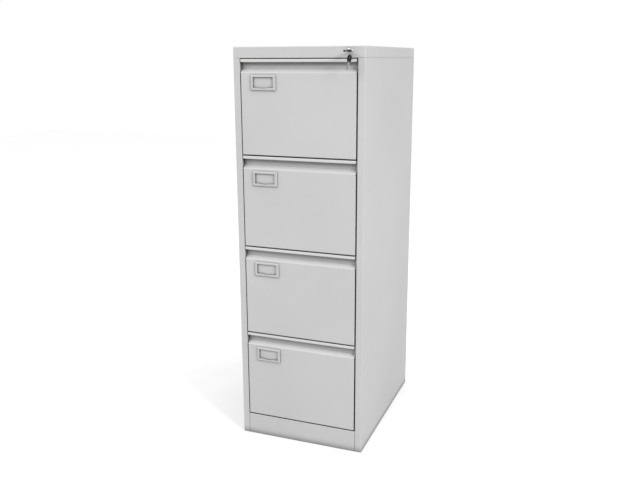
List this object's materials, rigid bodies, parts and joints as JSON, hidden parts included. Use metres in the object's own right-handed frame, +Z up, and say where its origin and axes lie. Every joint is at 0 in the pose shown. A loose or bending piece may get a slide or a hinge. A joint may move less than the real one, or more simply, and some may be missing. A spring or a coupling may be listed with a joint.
{
  "type": "filing cabinet",
  "caption": "Upright steel filing cabinet with full-extension drawers, recessed finger grips, card holders and a cylinder lock that bars the drawers.",
  "frame": {"origin": "centre of the cabinet's footprint, on the floor", "axes": "+Z up, drawers open towards -Y, +X to the right of a person facing the drawers"},
  "size_m": [0.45, 0.6658, 1.37],
  "materials": {
    "case_paint": "light grey powder coat, satin",
    "front_paint": "light grey powder coat, satin",
    "grip_paint": "light grey enamel, smoother than the panels",
    "holder_paint": "light grey enamel",
    "inner_paint": "light grey powder coat, thin inside coat",
    "runner_zinc": "bright zinc plate",
    "lock_chrome": "polished chrome plate",
    "lock_steel": "zinc-plated steel",
    "key_nickel": "nickel plate, lightly scuffed",
    "key_plastic": "black moulded plastic",
    "guide_plastic": "natural nylon"
  },
  "bodies": {
    "cabinet": {"side_panel_right": "case_paint", "side_panel_left": "case_paint", "back_panel": "case_paint", "back_rivets": "lock_steel", "top_cap": "case_paint", "base_frame": "inner_paint", "plinth": "case_paint", "front_uprights": "inner_paint", "rear_uprights": "inner_paint", "divider_rails": "inner_paint", "outer_runners_right": "runner_zinc", "outer_runners_left": "runner_zinc", "lock_housing": "lock_chrome", "lock_nut": "lock_steel", "lock_bar_guides": "guide_plastic"},
    "lock_plug": {"lock_plug": "lock_chrome", "lock_cam": "lock_steel"},
    "lock_bar": {"lock_bar": "lock_steel", "lock_bar_arm": "lock_steel", "lock_bar_fingers": "lock_steel"},
    "key": {"key_blade": "key_nickel", "key_head": "key_plastic"},
    "key_ring": {"key_ring": "key_nickel"},
    "drawer_1": {"drawer_front_1": "front_paint", "front_liner_1": "inner_paint", "grip_lip_1": "grip_paint", "card_holder_1": "holder_paint", "drawer_tray_1": "inner_paint", "drawer_back_1": "inner_paint", "inner_runners_1": "runner_zinc", "lock_catch_1": "lock_steel"},
    "runner_1": {"middle_runners_1": "runner_zinc"},
    "drawer_2": {"drawer_front_2": "front_paint", "front_liner_2": "inner_paint", "grip_lip_2": "grip_paint", "card_holder_2": "holder_paint", "drawer_tray_2": "inner_paint", "drawer_back_2": "inner_paint", "inner_runners_2": "runner_zinc", "lock_catch_2": "lock_steel"},
    "runner_2": {"middle_runners_2": "runner_zinc"},
    "drawer_3": {"drawer_front_3": "front_paint", "front_liner_3": "inner_paint", "grip_lip_3": "grip_paint", "card_holder_3": "holder_paint", "drawer_tray_3": "inner_paint", "drawer_back_3": "inner_paint", "inner_runners_3": "runner_zinc", "lock_catch_3": "lock_steel"},
    "runner_3": {"middle_runners_3": "runner_zinc"},
    "drawer_4": {"drawer_front_4": "front_paint", "front_liner_4": "inner_paint", "grip_lip_4": "grip_paint", "card_holder_4": "holder_paint", "drawer_tray_4": "inner_paint", "drawer_back_4": "inner_paint", "inner_runners_4": "runner_zinc", "lock_catch_4": "lock_steel"},
    "runner_4": {"middle_runners_4": "runner_zinc"}
  },
  "joints": [
    {"name": "drawer_1_slide", "type": "slide", "parent": "cabinet", "child": "drawer_1", "axis": [0, -1, 0], "range_m": [0, 0.53]},
    {"name": "runner_1_slide", "type": "slide", "parent": "cabinet", "child": "runner_1", "axis": [0, -1, 0], "range_m": [0, 0.265]},
    {"name": "drawer_2_slide", "type": "slide", "parent": "cabinet", "child": "drawer_2", "axis": [0, -1, 0], "range_m": [0, 0.53]},
    {"name": "runner_2_slide", "type": "slide", "parent": "cabinet", "child": "runner_2", "axis": [0, -1, 0], "range_m": [0, 0.265]},
    {"name": "drawer_3_slide", "type": "slide", "parent": "cabinet", "child": "drawer_3", "axis": [0, -1, 0], "range_m": [0, 0.53]},
    {"name": "runner_3_slide", "type": "slide", "parent": "cabinet", "child": "runner_3", "axis": [0, -1, 0], "range_m": [0, 0.265]},
    {"name": "drawer_4_slide", "type": "slide", "parent": "cabinet", "child": "drawer_4", "axis": [0, -1, 0], "range_m": [0, 0.53]},
    {"name": "runner_4_slide", "type": "slide", "parent": "cabinet", "child": "runner_4", "axis": [0, -1, 0], "range_m": [0, 0.265]},
    {"name": "lock_turn", "type": "hinge", "parent": "cabinet", "child": "lock_plug", "pos_m": [0.1755, -0.31, 1.354], "axis": [0, -1, 0], "range_deg": [0, 90]},
    {"name": "lock_bar_lift", "type": "slide", "parent": "cabinet", "child": "lock_bar", "axis": [0, 0, 1], "range_m": [0, 0.01131]},
    {"name": "key_pull", "type": "slide", "parent": "lock_plug", "child": "key", "axis": [0, -1, 0], "range_m": [0, 0.03]},
    {"name": "key_ring_swing", "type": "hinge", "parent": "key", "child": "key_ring", "pos_m": [0.177, -0.3432, 1.354], "axis": [-0.829, 0, -0.5592], "range_deg": [-8, 70]}
  ],
  "couplings": [
    {"joint": "runner_1_slide", "follows": "drawer_1_slide", "ratio": 0.5},
    {"joint": "runner_2_slide", "follows": "drawer_2_slide", "ratio": 0.5},
    {"joint": "runner_3_slide", "follows": "drawer_3_slide", "ratio": 0.5},
    {"joint": "runner_4_slide", "follows": "drawer_4_slide", "ratio": 0.5},
    {"joint": "lock_turn", "follows": "lock_bar_lift", "rad_per_m": 138.84}
  ]
}
